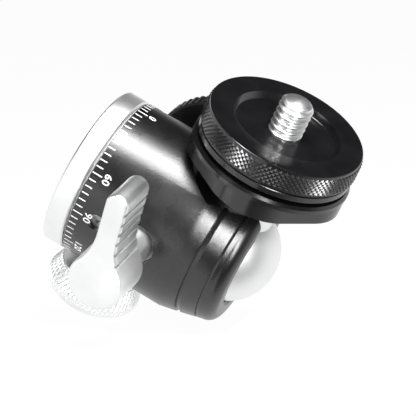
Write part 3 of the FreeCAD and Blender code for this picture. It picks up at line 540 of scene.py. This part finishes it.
def make_camera_stud():
    """The camera stud: a quarter inch thread with a rounded end, over a flange and a plain root."""
    levels = int(round((STUD_END - STUD_START) / STUD_RISE))
    corners, faces = [], []
    for level in range(levels + 1):
        height = STUD_START + level * (STUD_END - STUD_START) / levels
        widest = TIP_RADIUS + (STUD_END - height) * TIP_SLOPE
        for step in range(STUD_AROUND):
            turn = math.tau * step / STUD_AROUND
            sunk = thread_depth(height / STUD_PITCH - step / STUD_AROUND)
            radius = min(STUD_CREST - STUD_DEPTH * sunk, widest)
            corners.append((radius * math.cos(turn), radius * math.sin(turn), height))
    for level in range(levels):
        here, there = level * STUD_AROUND, (level + 1) * STUD_AROUND
        for step in range(STUD_AROUND):
            after = (step + 1) % STUD_AROUND
            faces.append((here + step, here + after, there + after, there + step))
    faces.append(tuple(range(STUD_AROUND))[::-1])
    faces.append(tuple(levels * STUD_AROUND + step for step in range(STUD_AROUND)))
    thread = mesh_of("stud_thread", corners, faces, bright_turned, THREAD_CREASE)
    root = lathe("stud_root", STUD_ROOT, bright_turned, STUD_AROUND)
    stud = joined("stud_piece", [thread, root], bright_turned)
    show(put_on(stud, DISC_AXIS), "camera_stud")


# ---- The degree scale ----

# Millimetres: the marks stand on a line at SCALE_FOOT, and the numbers have their middle higher.
SCALE_FOOT, NUMBER_HEIGHT, NUMBER_SIZE = 4.65, 7.6, 2.0
MARK_DEPTH, MARK_WIDTH = 0.02, 0.2
# A mark's name, count, length and how far its middle lies outside the body.
SCALE_MARKS = (("short_marks", 72, 1.4, 0.008), ("long_marks", 12, 2.0, 0.010))
NUMBER_LIFT = 0.012
# Degrees between the numbers, and where the zero stands: over the drop notch's side, -Y.
NUMBER_STEP, SCALE_ZERO = 30, -90


def printed_number(text):
    """A number as a thin flat mesh, centred on its own middle."""
    curve = bpy.data.curves.new("number_" + text, "FONT")
    curve.body = text
    curve.size = NUMBER_SIZE
    curve.align_x, curve.align_y = "CENTER", "CENTER"
    curve.offset = 0.03
    curve.extrude = 0.006
    curve.space_character = 1.08
    curve.resolution_u = 4
    thing = bpy.data.objects.new("number_" + text, curve)
    bpy.context.scene.collection.objects.link(thing)
    mesh = evaluated_mesh(thing)
    bpy.data.objects.remove(thing)
    return mesh


def wrap_round_body(mesh, azimuth):
    """Wrap a flat print, drawn in millimetres, onto the head body's cylinder."""
    for vertex in mesh.vertices:
        across, along, lift = vertex.co
        turn = math.radians(azimuth) + across / BODY_RADIUS
        radius = BODY_RADIUS + NUMBER_LIFT + lift
        vertex.co = Vector((radius * math.cos(turn), radius * math.sin(turn),
                            NUMBER_HEIGHT + along)) * MM


def make_scale():
    """The white degree scale printed round the foot of the head body."""
    pieces = []
    for name, count, length, lift in SCALE_MARKS:
        mark = bar(name + "_bar", MARK_DEPTH, MARK_WIDTH, length, white_print)
        rows = [(count, BODY_RADIUS + lift, SCALE_FOOT + length / 2, 0.0)]
        pieces.append(ring_of_pieces(name, mark, white_print, rows))
    for value in range(0, 360, NUMBER_STEP):
        mesh = printed_number(str(value))
        wrap_round_body(mesh, value + SCALE_ZERO)
        pieces.append(new_object(f"scale_number_{value}", mesh, white_print))
    scale = joined("degree_scale", pieces, white_print)
    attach(scale, "head")


# ---- Studio ----

# The camera's right, up and backward directions and its place, in the frame.
CAMERA_RIGHT = Vector((-0.383429, -0.362450, 0.849503))
CAMERA_UP = Vector((-0.390382, -0.770072, -0.504684))
CAMERA_BACK = Vector((0.837101, -0.525141, 0.153750))
CAMERA_PLACE = Vector((0.371440, -0.238154, 0.092162))
CAMERA_LENS = 210.37

# Each softbox: its direction from the head in the camera's own directions, its distance, width
# and height in metres, and its watts.
SOFTBOXES = {
    "top_softbox": ((0.215, 0.83, 0.53), 0.45, 0.34, 0.18, 4.2),
    "strip_softbox": ((0.31, 0.02, 0.95), 0.6, 0.13, 0.36, 4.2),
    "left_fill": ((-0.80, 0.15, 0.58), 0.6, 0.50, 0.50, 2.0),
}
LIT_SPOT = Vector((0.002, -0.004, 0.020))

# What the metal mirrors of the studio: its brightness overhead and on the camera's side, and the
# cosines between which it falls off to them from the full white of the horizon and the back.
OVERHEAD_LEVEL, OVERHEAD_START, OVERHEAD_STOP = 0.04, 0.05, 0.55
FRONT_LEVEL, FRONT_START, FRONT_STOP = 0.15, -0.1, 0.5

# The floor's slope against the camera, its reach and its gap under the head in metres, how white
# its paint is, the share of it that glows, and its end along the head's axis in millimetres.
FLOOR_SLOPE = math.radians(8)
FLOOR_REACH, FLOOR_GAP = 1.5, 0.0002
FLOOR_WHITE, FLOOR_GLOW = 0.9, 0.97
FLOOR_END = 38.0


def from_camera(right, up, back):
    """A direction given in the camera's own directions, as one in the frame."""
    return CAMERA_RIGHT * right + CAMERA_UP * up + CAMERA_BACK * back


FLOOR_UP = from_camera(0, math.cos(FLOOR_SLOPE), math.sin(FLOOR_SLOPE)).normalized()


def make_camera():
    """The camera at the photograph's viewpoint."""
    data = bpy.data.cameras.new("photo_camera")
    data.lens = CAMERA_LENS
    data.sensor_width = 36
    data.clip_start, data.clip_end = 0.01, 10
    camera = bpy.data.objects.new("photo_camera", data)
    turn = Matrix((CAMERA_RIGHT, CAMERA_UP, CAMERA_BACK)).transposed()
    camera.matrix_world = Matrix.Translation(CAMERA_PLACE) @ turn.to_4x4()
    bpy.context.scene.collection.objects.link(camera)
    bpy.context.scene.camera = camera


def soft_light(name, direction, distance, width, height, watts):
    """A rectangular softbox that faces the head, its width along the camera's right."""
    data = bpy.data.lights.new(name, "AREA")
    data.shape = "RECTANGLE"
    data.size, data.size_y = width, height
    data.energy = watts
    light = bpy.data.objects.new(name, data)
    away = from_camera(*direction).normalized()
    side = (CAMERA_RIGHT - away * CAMERA_RIGHT.dot(away)).normalized()
    turn = Matrix((side, away.cross(side), away)).transposed()
    light.matrix_world = Matrix.Translation(LIT_SPOT + away * distance) @ turn.to_4x4()
    bpy.context.scene.collection.objects.link(light)


def make_lights():
    """A softbox above, an upright strip beside the camera and a weak fill from the left."""
    for name, settings in SOFTBOXES.items():
        soft_light(name, *settings)


def cosine_between(tree, direction, axis):
    """The cosine of the angle between a direction and an axis."""
    node = tree.nodes.new("ShaderNodeVectorMath")
    node.operation = "DOT_PRODUCT"
    node.inputs[1].default_value = axis
    tree.links.new(direction, node.inputs[0])
    return node.outputs["Value"]


def make_world():
    """White to the camera, but dark overhead and on the camera's side in what metal mirrors."""
    world = bpy.data.worlds.new("studio")
    bpy.context.scene.world = world
    tree = emptied_tree(world)
    output = tree.nodes.new("ShaderNodeOutputWorld")
    background = tree.nodes.new("ShaderNodeBackground")
    direction = tree.nodes.new("ShaderNodeTexCoord").outputs["Generated"]
    sky = spread(tree, cosine_between(tree, direction, FLOOR_UP), 1.0, OVERHEAD_LEVEL,
                 OVERHEAD_START, OVERHEAD_STOP, "SMOOTHSTEP")
    room = spread(tree, cosine_between(tree, direction, CAMERA_BACK), 1.0, FRONT_LEVEL,
                  FRONT_START, FRONT_STOP, "SMOOTHSTEP")
    mirrored = calculated(tree, "MULTIPLY", sky, room)
    path = tree.nodes.new("ShaderNodeLightPath")
    seen = calculated(tree, "MAXIMUM", path.outputs["Is Camera Ray"],
                      path.outputs["Is Transmission Ray"])
    background.inputs["Color"].default_value = (1, 1, 1, 1)
    tree.links.new(calculated(tree, "MAXIMUM", seen, mirrored), background.inputs["Strength"])
    tree.links.new(background.outputs["Background"], output.inputs["Surface"])


def mixed(tree, factor, first, second):
    """Two shaders mixed by a factor."""
    node = tree.nodes.new("ShaderNodeMixShader")
    tree.links.new(factor, node.inputs["Fac"])
    tree.links.new(first, node.inputs[1])
    tree.links.new(second, node.inputs[2])
    return node.outputs["Shader"]


def floor_material():
    """A white floor that keeps a faint shadow, and that isn't seen from below."""
    material = bpy.data.materials.new("white_floor")
    tree = emptied_tree(material)
    output = tree.nodes.new("ShaderNodeOutputMaterial")
    matte = tree.nodes.new("ShaderNodeBsdfDiffuse")
    matte.inputs["Color"].default_value = (FLOOR_WHITE, FLOOR_WHITE, FLOOR_WHITE, 1)
    white = tree.nodes.new("ShaderNodeEmission")
    white.inputs["Strength"].default_value = 1.0
    clear = tree.nodes.new("ShaderNodeBsdfTransparent")
    path = tree.nodes.new("ShaderNodeLightPath")
    seen = calculated(tree, "MAXIMUM", path.outputs["Is Camera Ray"], path.outputs["Is Glossy Ray"])
    glow = calculated(tree, "MULTIPLY", seen, FLOOR_GLOW)
    top = mixed(tree, glow, matte.outputs["BSDF"], white.outputs["Emission"])
    below = tree.nodes.new("ShaderNodeNewGeometry").outputs["Backfacing"]
    whole = mixed(tree, below, top, clear.outputs["BSDF"])
    tree.links.new(whole, output.inputs["Surface"])
    return material


def make_floor():
    """The floor that the head lies on, tilted in the frame because the head lies on its side.

    It ends just past the rim round the ball, so that the raised camera disc clears it.
    """
    lowest = min(vertex.co.dot(FLOOR_UP)
                 for node in frame["nodes"].values() for vertex in node.data.vertices)
    middle = FLOOR_UP * (lowest - FLOOR_GAP)
    along = (Vector((0, 0, 1)) - FLOOR_UP * FLOOR_UP.z).normalized()
    across = along.cross(FLOOR_UP)
    end = (FLOOR_END * MM - middle.z) / along.z
    spots = [middle + across * side + along * forward for side, forward in (
        (-FLOOR_REACH, -FLOOR_REACH), (FLOOR_REACH, -FLOOR_REACH),
        (FLOOR_REACH, end), (-FLOOR_REACH, end))]
    mesh = bpy.data.meshes.new("floor")
    mesh.from_pydata(spots, [], [(0, 1, 2, 3)])
    new_object("floor", mesh, floor_material())


make_camera_disc()
make_pan_knurl()
make_camera_stud()
make_scale()
for node in frame["nodes"]:
    if node not in ("camera_disc", "camera_stud"):
        smooth_copy(node)
make_camera()
make_lights()
make_world()
make_floor()
bpy.context.scene.view_settings.view_transform = "Standard"
